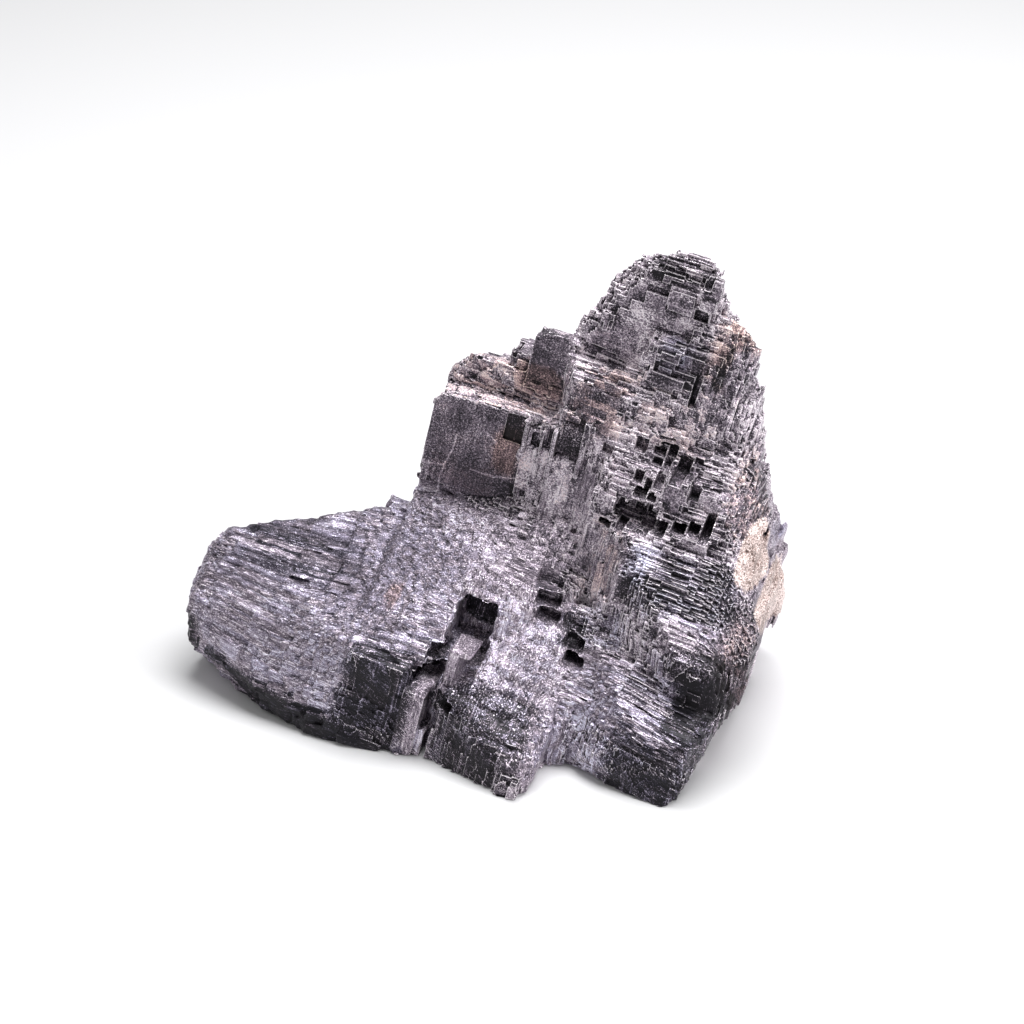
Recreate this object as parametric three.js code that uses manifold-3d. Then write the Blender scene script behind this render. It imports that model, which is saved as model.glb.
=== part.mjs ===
// A lump of galena, broken along its cubic cleavage, standing on its flattened underside.
// Millimetres, +Z up. The origin is below the middle of the lump, in the plane it rests on.
import * as THREE from "three";
import { ConvexGeometry } from "three/addons/geometries/ConvexGeometry.js";
import { mergeVertices } from "three/addons/utils/BufferGeometryUtils.js";
import Module from "manifold-3d";

const wasm = await Module();
wasm.setup();

// The three cleavage directions are at right angles: a runs right, b runs back and c runs up.
// Every point and block below is given as [a, b, c]. The whole lump is then turned by these angles.
const CLEAVAGE_YAW = -19;
const CLEAVAGE_DIP = 12;
const CLEAVAGE_ROLL = -3;
const TRIM_SIZE = 400; // edge of the block that trims the underside flat
const SAME_POINT = 0.0001; // corners closer than this are one

// Faces that several pieces share.
const WALL_FACE = 21; // b of the tall flat face
const FLOOR = -16; // c below the deepest part of the underside

function solid(geometry) {
  const plain = new THREE.BufferGeometry();
  plain.setAttribute("position", geometry.getAttribute("position"));
  plain.setIndex(geometry.index);
  const merged = mergeVertices(plain, SAME_POINT);
  return new wasm.Manifold(
    new wasm.Mesh({
      numProp: 3,
      vertProperties: merged.getAttribute("position").array,
      triVerts: new Uint32Array(merged.index.array),
    }),
  );
}

function toGeometry(manifold) {
  const mesh = manifold.getMesh();
  const geometry = new THREE.BufferGeometry();
  geometry.setAttribute("position", new THREE.BufferAttribute(mesh.vertProperties, 3));
  geometry.setIndex(new THREE.BufferAttribute(mesh.triVerts, 1));
  return geometry;
}

// A broken chunk: the flat faces between its corner points.
function chunk(...points) {
  return solid(new ConvexGeometry(points.map((point) => new THREE.Vector3(...point))));
}

// A cleavage block, from a low to a high value along each of the three directions.
function block(a, b, c) {
  const box = new THREE.BoxGeometry(a[1] - a[0], b[1] - b[0], c[1] - c[0]);
  box.translate((a[0] + a[1]) / 2, (b[0] + b[1]) / 2, (c[0] + c[1]) / 2);
  return solid(box);
}

// The low lobe on the left, whose top slopes down to the front left.
const lobe = chunk(
  [-80.5, 8, 14], [-78, 8, 17.5], [-69, 12, 17], [-61, 16, 19.4], [-51, 19, 25.4], [-41, 22, 31],
  [-30, 22, 38.5], [-77.5, -10, 5], [-80, -3, 6], [-76, -9, -6], [-66, -15, -3], [-54, -21, -3],
  [-41, -22, 2], [-34, -21, 17], [-16, -19, 20], [-20, 0, 30], [-75, 0, -14.5], [-70, -3, -14.5],
  [-61, -9.5, -13], [-53, -16.5, -11.5], [-44.5, -21, -10.5], [-35.5, -25, -9], [-27, -27.5, -7.5],
  [-19, -27, -6], [-11, -24, -4], [-72, 20, -8], [-60, 30, -6], [-40, 34, 0], [-20, 30, 0],
);
// The tall block behind it, with the wide flat face in front.
const tower = chunk(
  [-35.6, WALL_FACE, 36], [-36.7, WALL_FACE, 62], [-35, WALL_FACE, 66.5], [-15, WALL_FACE, 69],
  [-4, WALL_FACE, 70], [-4, WALL_FACE, 30], [-35, 25, 67], [-34, 24, FLOOR], [-4, WALL_FACE, FLOOR],
  [-36, 40, 60], [-10, 40, 70], [-38, 40, FLOOR], [-4, 44, FLOOR],
);
// The ledge above the wall, with a tooth and a knob on it, and a lump at the wall's foot on the left.
const crest = chunk(
  [-35.5, 27, 58], [-36.8, 28, 70.5], [-32.5, 28, 75.5], [-28, 29, 76], [-22, 27, 76], [-7, 26, 76],
  [-34, 37, 68], [-30, 37, 72], [-22, 37, 74], [-5, 40, 78], [-5, 27, 60], [-34, 40, 55], [-5, 42, 55],
);
const tooth = chunk(
  [-16.5, 26, 73], [-16.5, 26, 85], [-15, 26, 88.5], [-8, 26, 89.5], [-6.5, 26, 88], [-6.5, 26, 73],
  [-17, 33, 73], [-16, 33, 85], [-8, 36, 86], [-6, 36, 73],
);
const knob = block([-22, -15], [28, 36], [70, 80.5]);
const cheek = block([-43, -34], [22, 27], [10, 32]);

// The middle slope, which runs down from the foot of the wall.
const slope = chunk(
  [-36, WALL_FACE, 38], [-5, WALL_FACE, 48], [9, 17, 52], [7, 8, 42], [13, 4, 38], [-4, 0, 32],
  [-15, 0, 30.5], [-34, -21, 17], [-18, -21, 18], [20, 20, 30], [-36, 30, FLOOR], [20, 30, FLOOR],
  [-30, -18, -8], [-16, -19, -6], [14, 0, -4],
);
// The folded middle of the slope, and the spur that it ends in at the front.
const apron = chunk(
  [-18, 2, 22], [-4, 2, 24], [6, 2, 32], [12, 4, 36], [17, -6, 28], [18, -15, 20], [14, -24, 12],
  [-7, -24, 14], [-13, -18, 13], [-16, -12, 12], [-16, -12, -5], [-5, -23, -2], [20, -20, 3], [20, 4, 0],
  [-18, 4, -4],
);
const spur = chunk(
  [17, -12, 22], [19, -15, 19], [14, -24, 12], [-7, -24, 14], [-8, -25, -2.5], [-3, -26, -1.5],
  [12, -32.5, 0.5], [17.5, -35.5, 2], [16, -33, 8], [20, -32.5, 5], [20, -28, 4], [20, -20, 3],
  [20, -20, 14], [-5, -10, -3], [20, -10, 3],
);

// The ramp on the right, from its front corner up to the peak.
const frontCorner = chunk(
  [24, -18, 10], [30, -22, 12.5], [40, -22.5, 23], [52, -22.5, 25], [52.5, -24.5, 12], [50.5, -27, 8.5],
  [37, -21.5, 5.5], [26, -17, 5], [20, -3, 33], [22, -6, 31], [54, -14, 27], [57, -10, 31], [53, 0, 10],
  [20, 5, 0], [20, 0, 30],
);
// The hollow between the spur and the ramp.
const gully = chunk(
  [12, 4, 36], [20, 2, 38], [18, -8, 25], [19, -3, 31], [24, -8, 28], [18, -15, 18], [20, -20, 12],
  [24, -18.5, 9], [20, -19, 2], [27, -16, 4], [2, -12, -3], [12, 8, 0], [26, 8, 0], [26, 2, 34],
);
// The ramp's long broken face, and its right side with a rim of paler stone.
const lowerRamp = chunk(
  [8, 15, 69], [37, 22, 77], [43, 25, 74], [45, 31, 69], [38, 8, 56], [46, 1, 44], [41, -12, 40.5],
  [51, -12, 38.5], [54.5, -13, 29], [58.5, -4, 33], [57.5, 0, 40], [56.5, 15, 38], [56.5, 25, 46],
  [20, 2, 53], [21, 0, 30], [9, 12, 50], [41, -12, 22], [53, -10, 15], [55, 35, 10], [52, 46, 0],
  [8, 46, FLOOR], [20, 2, -5], [8, 44, 72], [43, 44, 66],
);
const flank = chunk(
  [45, 38, 66], [47, 44, 58], [51, 45, 51], [54, 45, 47], [52.5, 45, 42], [44, 30, 66], [50, 26, 52],
  [40, 46, 64], [55, 30, 30], [53, 46, 20], [40, 40, 10],
);
const rim = chunk(
  [54, 24, 51], [55, 28, 50], [58, 31, 44], [59, 30, 39], [56.5, 24, 34], [57, 34, 34], [53.5, 40, 44],
  [45, 26, 40], [45, 36, 40], [55, 26, 30],
);
// The peak, the shoulder that leans on its right, and the ledge that leads from it to the wall.
const face = chunk(
  [5, 28, 111], [20, 28, 113.5], [22.5, 30, 112.5], [22.5, 33, 107], [19.5, 33, 116], [18.5, 33, 117.5],
  [12, 33, 117.5], [6, 33, 115], [0.5, 33, 112.5], [-2.5, 33, 108.5], [-3.5, 32, 102], [-6, 32, 95.5],
  [-8, 32, 91], [-10, 28, 86], [-10, 27, 74], [5, 40, 109], [9, 45, 108], [17, 45, 110], [22, 44, 103],
  [28, 27, 88], [32, 46, 88], [-10, 42, 74], [20, 52, 74], [20, 27, 74],
);
const shoulder = chunk(
  [20, 27, 104], [26.5, 30, 107], [31, 31, 105], [34.5, 32, 101.5], [34.8, 32, 97], [33.4, 32, 92],
  [35, 32, 87], [37, 31, 86], [39.5, 31, 82.5], [43, 31, 74], [40, 24, 73], [34, 23, 84], [28, 24, 94],
  [20, 22, 88], [12, 20, 76], [20, 44, 96], [32, 46, 88], [41, 48, 68], [14, 50, 68], [14, 17, 70],
  [42, 27, 68],
);
const ledge = chunk(
  [-5, 20, 82.5], [5.7, 20, 81.5], [8, 19.5, 69], [-5, 20, 64], [-8, 26, 86], [10, 26, 84], [22, 22, 87],
  [16, 17, 72], [-8, 40, 82], [20, 42, 82], [-5, 19, 20], [16, 19, 20], [-8, 44, 20], [20, 44, 20],
  [9, 14, 60], [9, 14, 50],
);

// The back, which broke along steeper planes, and the root that joins all of it below.
const backLeft = chunk(
  [-34, 38, 64], [-20, 40, 72], [-5, 42, 78], [-37, 40, 40], [-38, 40, FLOOR], [0, 49, 60], [5, 54, 20],
  [8, 56, FLOOR], [-34, 25, FLOOR], [-34, 25, 30], [5, 22, FLOOR], [5, 25, 60],
);
const backRight = chunk(
  [-5, 42, 76], [-5, 50, 55], [8, 44, 107], [17, 45, 109], [23, 44, 102], [32, 46, 90], [38, 47, 76],
  [42.5, 49, 64], [50.5, 49, 48], [54, 48, 30], [52, 50, 0], [14, 56, 0], [-5, 52, 0], [12, 54, 60],
  [30, 54, 50], [10, 30, 80], [-5, 25, 0], [50, 20, 0], [30, 25, 70],
);
const root = chunk(
  [-30, -10, -12], [40, -8, 0], [40, 40, 0], [-30, 35, FLOOR], [-20, -5, 16], [16, 0, 25], [36, 10, 25],
  [-10, 30, 30],
);

// Cleavage blocks that stand out of the slopes, and niches that have broken out of them.
const proud = [
  block([-33, -12.5], [-23.5, 0], [-4, 17.5]), // dark face under the lobe
  block([-16, -7], [-25, -5], [-6, 4]), // foot of the dark cleft beside it
  block([-12.5, -8.5], [19.5, 30], [40, 66]), // columns that step forward to the right of the wall
  block([-8.5, -4.5], [18, 30], [40, 69]),
  block([-4.5, 4.5], [15.5, 30], [44, 75]),
  block([4.5, 8], [14.5, 30], [44, 66]),
  block([9, 24], [9, 30], [44, 62]), // steps below the pits
  block([24, 38], [12, 30], [50, 70]), // block to the right of the pits
  block([20, 36], [-1, 20], [28, 50]), // bluish face low on the ramp
  block([36, 49], [-4, 20], [28, 46]), // step beside it
  block([10, 19], [22, 34], [84, 98]), // middle of the peak
];
const niches = [
  block([-12, -2.8], [-20, 0], [20.5, 30.2]), // large niche of the apron
  block([-16, -11.5], [-30, -8], [11.5, 18.2]), // cleft beside the spur
  block([-2.8, 2], [0, 18], [63.8, 73.2]), // window in the columns
  block([15.5, 24.8], [0, 15], [57, 62.4]), // lowest pits
  block([7, 20.5], [20, 28.6], [112, 115]), // recess under the cap
  block([34.4, 44], [24, 50], [88.5, 93.5]), // notch in the shoulder
];

const chunks = [
  lobe, tower, crest, tooth, knob, cheek, slope, apron, spur, frontCorner, gully, lowerRamp, flank, rim,
  face, shoulder, ledge, backLeft, backRight, root, ...proud,
];
const joined = chunks.reduce((sum, piece) => sum.add(piece));
const lump = niches.reduce((rest, niche) => rest.subtract(niche), joined);

// The lump turned upright, and its underside trimmed flat where it stands.
const toRadians = THREE.MathUtils.degToRad;
const upright = new THREE.Matrix4().makeRotationFromEuler(
  new THREE.Euler(toRadians(CLEAVAGE_ROLL), toRadians(CLEAVAGE_DIP), toRadians(CLEAVAGE_YAW), "ZYX"),
);
const underside = new THREE.BoxGeometry(TRIM_SIZE, TRIM_SIZE, TRIM_SIZE).translate(0, 0, -TRIM_SIZE / 2);
const rested = toGeometry(solid(toGeometry(lump).applyMatrix4(upright)).subtract(solid(underside)));

// The origin goes below the middle of the lump's box.
rested.computeBoundingBox();
const middle = rested.boundingBox.getCenter(new THREE.Vector3());
rested.translate(-middle.x, -middle.y, -rested.boundingBox.min.z);

const galena = new THREE.Mesh(
  rested,
  new THREE.MeshStandardMaterial({ color: 0x7b7480, roughness: 0.45, metalness: 0.7, flatShading: true }),
);
galena.name = "galena";

const specimen = new THREE.Group();
specimen.add(galena);
export default specimen;
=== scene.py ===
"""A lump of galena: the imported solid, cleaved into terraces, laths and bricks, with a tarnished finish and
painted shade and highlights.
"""

import itertools
import math
import random

import bmesh
import bpy
import numpy as np
from mathutils import Euler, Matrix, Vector
from mathutils.bvhtree import BVHTree


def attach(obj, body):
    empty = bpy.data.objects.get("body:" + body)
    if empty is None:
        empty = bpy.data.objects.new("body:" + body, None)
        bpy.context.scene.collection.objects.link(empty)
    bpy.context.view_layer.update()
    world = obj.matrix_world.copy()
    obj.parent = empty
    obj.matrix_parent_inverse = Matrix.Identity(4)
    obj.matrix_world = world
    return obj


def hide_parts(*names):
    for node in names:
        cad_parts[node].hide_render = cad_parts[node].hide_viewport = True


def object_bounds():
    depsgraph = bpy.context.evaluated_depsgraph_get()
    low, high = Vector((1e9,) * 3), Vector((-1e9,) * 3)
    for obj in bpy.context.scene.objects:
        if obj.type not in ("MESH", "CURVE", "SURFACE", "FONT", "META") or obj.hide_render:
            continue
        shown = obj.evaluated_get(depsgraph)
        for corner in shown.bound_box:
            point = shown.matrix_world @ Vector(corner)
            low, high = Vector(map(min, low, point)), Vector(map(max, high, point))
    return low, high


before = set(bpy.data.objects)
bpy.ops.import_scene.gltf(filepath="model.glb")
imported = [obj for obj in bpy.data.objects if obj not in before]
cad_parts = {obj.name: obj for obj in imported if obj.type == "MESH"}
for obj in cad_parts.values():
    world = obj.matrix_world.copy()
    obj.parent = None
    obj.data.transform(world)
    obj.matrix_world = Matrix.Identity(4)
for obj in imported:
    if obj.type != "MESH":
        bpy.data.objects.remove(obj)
cad_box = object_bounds()

NODE = "galena"
MM = 0.001

# The cleavage directions of part.mjs: a runs right, b runs back and c runs up, in millimetres.
YAW, DIP, ROLL = -19.0, 12.0, -3.0
LUMP_MIDDLE = np.array([-0.133, 4.573, 0.0])  # what the lump is moved by when part.mjs centres it
CRYSTAL = np.array(Euler([math.radians(t) for t in (ROLL, DIP, YAW)], "XYZ").to_matrix())

SEED = 11
FINE = (0.34, 0.52)  # least and most distance between cleavage planes
PROBE = 0.5  # spacing of the samples taken of the solid
MARGIN = 4.0  # empty space around the solid in its grid
RAY_PLACE = (0.503, 0.507)  # where in its cell a ray goes up: off the middle, to miss the solid's edges
PAST_HIT = 1e-4  # how far past a face its ray starts again
SUNK = 3  # samples that the underside is lowered by: what breaks off its edges


def to_crystal(points):
    """Metres in the part's frame to millimetres along the cleavage directions."""
    return (points / MM + LUMP_MIDDLE) @ CRYSTAL


def from_crystal(points):
    return (points @ CRYSTAL.T - LUMP_MIDDLE) * MM


# ---------------------------------------------------------------- the solid, sampled

def sampled_solid(node):
    """Which cells of an even grid along the cleavage directions lie inside the CAD solid."""
    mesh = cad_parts[node].data
    mesh.calc_loop_triangles()
    corners = np.empty(len(mesh.vertices) * 3, np.float32)
    mesh.vertices.foreach_get("co", corners)
    corners = to_crystal(corners.reshape(-1, 3).astype(float))
    triangles = np.empty(len(mesh.loop_triangles) * 3, np.int32)
    mesh.loop_triangles.foreach_get("vertices", triangles)
    tree = BVHTree.FromPolygons([Vector(c) for c in corners], triangles.reshape(-1, 3).tolist())
    low = corners.min(0) - MARGIN
    size = np.ceil((corners.max(0) + MARGIN - low) / PROBE).astype(int)
    inside = np.zeros(size, bool)
    up = Vector((0, 0, 1))
    height = size[2] * PROBE
    for i in range(size[0]):
        for j in range(size[1]):
            place = (low[0] + (i + RAY_PLACE[0]) * PROBE, low[1] + (j + RAY_PLACE[1]) * PROBE, low[2])
            start = Vector(place)
            hits = []
            travelled = 0.0
            while travelled < height:
                hit = tree.ray_cast(start + up * travelled, up, height - travelled)
                if hit[0] is None:
                    break
                travelled += hit[3] + PAST_HIT
                hits.append(travelled)
            for enter, leave in zip(hits[::2], hits[1::2]):
                inside[i, j, round(enter / PROBE):round(leave / PROBE)] = True
    for axis in range(3):  # bricks may stand off the surface, so it starts one sample further in
        along = np.moveaxis(inside, axis, 0)
        along[1:-1] = along[1:-1] & along[:-2] & along[2:]
    for _ in range(SUNK):
        inside[:, :, :-1] |= inside[:, :, 1:]
    return inside, low


# ---------------------------------------------------------------- bends of the cleavage

# Where the cleavage was bent: centre, reach along a, b and c, axis turned about and turn in degrees.
BENDS = [
    ((-62, -8, 8), (18, 15, 14), "c", -22),
    ((-60, 6, 18), (26, 18, 14), "b", -12),
    ((38, -17, 24), (17, 9, 10), "c", -20),
    ((46, 2, 48), (12, 12, 9), "c", -8),
]
# Waves: amplitude, and the wavelength along a, b and c.
WAVES = [
    (0.2, 61, 47, 53), (0.15, 29, 23, 31), (0.12, 13, 9, 12),
    (0.08, 7.3, 5.1, 6.1), (0.04, 3.7, 4.3, 4.1),
]


def bend(a, b, c):
    """How far the bends carry what is at a, b and c: either lists of places or the axes of a grid."""
    shift = [0.0, 0.0, 0.0]
    for centre, spread, axis, turn in BENDS:
        offset = [value - middle for value, middle in zip((a, b, c), centre)]
        weight = 1.0
        for n in range(3):
            weight = weight * np.exp(-((offset[n] / spread[n]) ** 2) / 2)
        first, second = {"a": (1, 2), "b": (2, 0), "c": (0, 1)}[axis]
        angle = math.radians(turn) * weight
        sine, fall = np.sin(angle), 1 - np.cos(angle)
        shift[first] = shift[first] - fall * offset[first] - sine * offset[second]
        shift[second] = shift[second] + sine * offset[first] - fall * offset[second]
    return shift


def ripple(a, b, c):
    """The slight waves of the cleavage itself."""
    draw = random.Random(SEED)
    shift = [0.0, 0.0, 0.0]
    for amplitude, *lengths in WAVES:
        for axis in range(3):
            product = amplitude
            for value, length in zip((a, b, c), lengths):
                product = product * np.sin(value * math.tau / length + draw.uniform(0, math.tau))
            shift[axis] = shift[axis] + product
    return shift


def cleavage_planes(low, high, draw):
    """Unevenly spaced cleavage planes from low to high."""
    planes = [low]
    while planes[-1] < high:
        planes.append(planes[-1] + draw.uniform(*FINE))
    return np.array(planes, np.float32)


# ---------------------------------------------------------------- the bricks

# Regions, of which the first that holds a point wins: low and high corner, the terraces, the bricks that
# chip off them, how much of a flat face is chipped, and how soft the edges are. Terraces and bricks are
# given as the most that they measure along a, b and c, and their relief, which is how far they may stand
# off the surface.
REGIONS = {
    "wall": ((-37, 17, 41), (-13, 25, 67), (20, 1.5, 15, 0.7), (10, 0.8, 8, 0.4), 0.01, 0.1),
    "wall foot": ((-38, 6, 33), (0, 22, 43), (8, 4, 3, 1.0), (4, 2, 1.4, 0.4), 0.2, 0.4),
    "left front": ((-31, -32, -4), (-13, -19, 16), (14, 1.2, 14, 1.0), (8, 0.8, 9, 0.5), 0.02, 0.1),
    "middle front": ((-11, -32, -4), (16, -19, 12), (8, 1.5, 14, 1.0), (3, 0.8, 6, 0.5), 0.03, 0.3),
    "right front": ((22, -32, -4), (56, -8, 18), (10, 1.5, 12, 1.0), (4, 0.8, 3, 0.5), 0.05, 0.2),
    "wall ledge": ((-37, 20, 60), (-4, 34, 78), (5, 3, 3, 1.3), (2.4, 1.4, 1.2, 0.7), 0.4, 0.3),
    "wall columns": ((-14, 14, 54), (3, 22, 70), (3, 1.2, 12, 1.2), (1.5, 0.9, 7, 0.6), 0.1, 0.3),
    "tooth": ((-17, 20, 72), (-6, 29, 90), (12, 2, 14, 0.9), (5, 0.8, 6, 0.4), 0.02, 0.2),
    "panel": ((-5, 15, 66), (8, 24, 82), (4, 1.2, 16, 1.0), (1.8, 0.8, 9, 0.5), 0.1, 0.3),
    "peak": ((-12, 20, 84), (26, 34, 120), (9, 2.0, 4.4, 1.8), (4.0, 1.1, 2.6, 1.0), 0.3, 0.1),
    "shoulder": ((22, 18, 80), (44, 36, 112), (6, 2.4, 5, 1.6), (3.4, 1.3, 2.4, 0.9), 0.3, 0.3),
    "band": ((-6, 12, 70), (46, 30, 84), (5, 3, 4, 1.5), (2.2, 1.2, 1.6, 0.8), 0.4, 0.15),
    "right edge": ((37, 12, 58), (50, 34, 80), (4, 3, 7, 1.2), (2.0, 1.2, 2.4, 0.7), 0.3, 0.4),
    "pits": ((8, 4, 54), (40, 24, 72), (6, 3, 4, 1.8), (3.4, 1.0, 1.8, 0.9), 0.15, 0.1),
    "gangue": ((45, 8, 36), (64, 46, 64), (5, 5, 5, 2.0), (2.4, 2.4, 2.4, 1.2), 0.5, 0.6),
    "strips": ((-4, -2, 40), (22, 24, 66), (3, 2.4, 14, 1.8), (1.5, 1.0, 7, 0.9), 0.15, 0.4),
    "scales": ((24, -4, 38), (60, 18, 58), (6, 2, 3.0, 1.0), (4.4, 1.0, 1.7, 0.5), 0.2, 0.15),
    "blue face": ((14, -6, 28), (38, 6, 46), (10, 1.5, 9, 1.2), (5, 0.9, 5, 0.6), 0.1, 0.1),
    "pale band": ((34, -18, 38), (56, 0, 46), (18, 3, 1.4, 1.0), (12, 1.1, 0.7, 0.5), 0.4, 0.4),
    "right columns": ((49, -14, 20), (64, 12, 50), (3, 3, 14, 1.5), (1.6, 1.1, 7, 0.8), 0.3, 0.4),
    "dark scales": ((30, -16, 22), (52, -4, 40), (9, 2, 3.4, 1.3), (6, 1.0, 2.0, 0.7), 0.15, 0.15),
    "fan": ((17, -32, 12), (56, -8, 38), (20, 2.5, 1.6, 1.0), (14, 1.2, 0.8, 0.5), 0.3, 0.5),
    "apron front": ((-13, -32, -6), (22, 4, 36), (2.4, 3, 18, 1.2), (1.1, 2.2, 10, 0.6), 0.2, 0.6),
    "apron": ((-38, -14, 16), (8, 14, 42), (20, 6, 3, 1.1), (14, 3, 2.0, 0.4), 0.15, 0.6),
    "lobe underside": ((-90, -30, -16), (-15, 26, 1), (14, 9, 6, 2.2), (8, 5, 3, 1.1), 0.05, 0.5),
    "lobe": ((-90, -30, -16), (-15, 26, 40), (28, 5, 3, 1.5), (18, 2.4, 1.6, 0.5), 0.2, 0.6),
    "elsewhere": ((-99, -99, -99), (99, 99, 150), (14, 8, 10, 2.0), (6, 3.5, 4.5, 1.1), 0.1, 0.1),
}
TERRACES, BRICKS, CHIPPED, SOFT = 2, 3, 4, 5  # their places in a region's row
SOFTNESS = {name: region[SOFT] for name, region in REGIONS.items()}
BORDER = 1.2  # how ragged the borders of the regions are

SLANTED = ["left front", "middle front", "right front"]  # their fine strokes lean
UPRIGHT = [  # their streaks run up and not along
    "wall", "left front", "middle front", "right front", "wall columns", "tooth", "panel", "shoulder",
    "right edge", "strips", "blue face", "right columns", "apron front",
]


def region_at(point, draw):
    """The region's row for a point, which is shaken so that the borders are ragged."""
    a, b, c = (value + draw.gauss(0, BORDER) for value in point)
    for region in REGIONS.values():
        low, high = region[:2]
        if low[0] <= a <= high[0] and low[1] <= b <= high[1] and low[2] <= c <= high[2]:
            return region


# What has broken out, then what stands: low and high along a, b and c.
BROKEN_OUT = {
    "left of the wall": ((-50, -36.9), (15, 50), (36.5, 64)),
    "splinter beside the wall": ((-50, -35.8), (15, 23.5), (39.8, 43.8)),
    "wall window left": ((-17.7, -12.4), (10, 22.2), (60, 67.4)),
    "wall window middle": ((-10.3, -7.4), (10, 20.6), (61.6, 65.4)),
    "wall window right": ((-6.4, -4.4), (10, 19.6), (62.7, 68.0)),
    "window under the panel": ((-2.8, 1.9), (5, 18.2), (63.8, 73.2)),
    "recess under the cap": ((6.6, 20.6), (15, 28.4), (112, 115)),
    "hole by the shoulder": ((18.2, 21.6), (10, 29), (103.4, 106.2)),
    "groove of the peak": ((23.2, 24.9), (10, 25), (84, 101)),
    "window by the strips": ((7.4, 9.6), (8, 19.4), (68.2, 70.2)),
    "window on the right": ((36.4, 38.6), (8, 22), (74.8, 78)),
    "pit 1": ((14.2, 17), (8, 21), (71.2, 74.6)),
    "pit 2": ((19, 23.2), (8, 21), (75.4, 76.2)),
    "pit 3": ((19.8, 23.6), (8, 21), (74, 74.8)),
    "pit 4": ((19, 21.7), (8, 21.5), (71.8, 73.3)),
    "pit 5": ((22.2, 24.5), (8, 22), (71.6, 74.5)),
    "pit 6": ((19.3, 21.7), (8, 19.5), (69.2, 71.2)),
    "pit 7": ((22.2, 23.8), (8, 20), (69.4, 72)),
    "pit 8": ((25.5, 28.7), (8, 20), (70, 73.7)),
    "pit 9": ((16.8, 19.1), (4, 17), (65.8, 68.6)),
    "pit 10": ((19.7, 21.5), (4, 16.5), (65.2, 67.8)),
    "pit 11": ((22, 23.9), (4, 16.5), (66, 68.9)),
    "pit 12": ((18.1, 20.9), (4, 17), (62.9, 65.2)),
    "pit 13": ((21.4, 23.5), (4, 17), (63.3, 65.4)),
    "pit 14": ((18.4, 21.3), (4, 17.5), (60.3, 62.4)),
    "pit 15": ((21.8, 23.7), (4, 17.5), (60.9, 62.9)),
    "pit 16": ((18.8, 21.6), (3, 17.5), (57.5, 59.9)),
    "pit 17": ((22, 24.2), (3, 17.5), (58.2, 60.5)),
    "slit in the block": ((30.6, 32.9), (3, 15), (66.7, 71.2)),
    "lower pit 1": ((25.2, 28.6), (2, 13), (58.2, 61.3)),
    "lower pit 2": ((29.6, 32.8), (2, 13), (59.4, 62)),
    "lower pit 3": ((33.2, 35.9), (2, 13), (60.4, 62.7)),
    "lower pit 4": ((36.2, 38.5), (2, 14.5), (60, 64.9)),
    "window low 1": ((12.6, 15.4), (0, 12.5), (54.5, 56.3)),
    "window low 2": ((16.6, 19), (0, 13), (55.2, 57.5)),
    "window low 3": ((15.3, 18.3), (-6, 5.5), (51, 52.9)),
    "dark strip 1": ((3, 9.2), (-6, 5.4), (36, 39.8)),
    "dark strip 2": ((4.2, 9.6), (-7, 4.6), (32.6, 35.7)),
    "dark strip 3": ((5.5, 10.6), (-8, 3.6), (29.6, 32.3)),
    "dark strip 4": ((11.9, 16.7), (-11, 0.6), (30.4, 33.2)),
    "dark strip 5": ((13.6, 18.3), (-13, -1.4), (27.5, 30.1)),
    "dark strip 6": ((14.9, 19.4), (-14, -2.4), (24.2, 27.2)),
    "niche": ((-11.4, -3.2), (-10, 2.2), (21.4, 30.6)),
    "niche below": ((-6.4, -2.2), (-20, -2.6), (16.2, 22.6)),
    "side window": ((-14.4, -10), (-23, -10), (18, 21.4)),
    "side window below": ((-13.4, -9.2), (-25, -12), (14.4, 17.6)),
    "cleft": ((-9, -7.8), (-32, -20), (-6, 9)),
    "cavity under the tongue": ((-10.3, -4), (-29, -20), (10.4, 13.2)),
    "slot low on the ramp": ((18.8, 21.9), (-10, 2.2), (35.9, 37.2)),
}
STANDING = {
    "tooth": ((-16.8, -6.6), (26.2, 33), (72, 86.6)),
    "wall rib left": ((-12.6, -11.4), (19.0, 24), (57.7, 68)),
    "wall rib middle": ((-8.2, -7.2), (17.6, 24), (55, 67)),
    "wall rib right": ((-4.4, -3.4), (15.0, 24), (57, 70)),
    "rib beside the window": ((2.6, 3.8), (14.9, 22), (62, 75)),
    "block by the pits": ((24.8, 30.4), (10.4, 20), (60.8, 71)),
    "shoulder block": ((18.5, 22.8), (26.6, 30), (107, 114.5)),
    "tongue": ((-8.8, -3.4), (-19.6, -6), (14.4, 24)),
    "cheek of the cleft": ((-16, -11), (-25, -8), (-5, 13)),
    "rung of the cleft": ((-12, -8), (-22, -8), (14.2, 15.4)),
}


def work_boxes(solid, middles, boxes, filled):
    """Fills or empties the cells whose middles are in the boxes."""
    for reach in boxes.values():
        held = [np.flatnonzero((m >= low) & (m <= high)) for m, (low, high) in zip(middles, reach)]
        solid[np.ix_(*held)] = filled


HOLLOW_RIM = 0.2  # how near to a box counts as inside it


def inside_boxes(points, boxes):
    held = np.zeros(len(points), bool)
    for reach in boxes.values():
        low, high = np.array(reach).T
        held |= ((points > low - HOLLOW_RIM) & (points < high + HOLLOW_RIM)).all(1)
    return held


def running_totals(solid):
    """How many cells are filled from the grid's corner to each cell, which makes any box quick to count."""
    total = np.zeros([n + 1 for n in solid.shape], np.int32)
    np.cumsum(solid, 0, np.int32, out=total[1:, 1:, 1:])
    np.cumsum(total, 1, out=total)
    np.cumsum(total, 2, out=total)
    return total


STRIDE = 3  # cells between the places where the surface's direction is measured
REACH = 6  # cells looked at either way
LONGEST = 30.0  # a brick longer than this is split whatever it holds
LONGEST_UNSEEN = 3.0  # the longest brick at the surface whose middle is away from it
FLAT = 0.97  # a surface that faces a, b or c by more than this is a whole cleavage face
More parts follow.
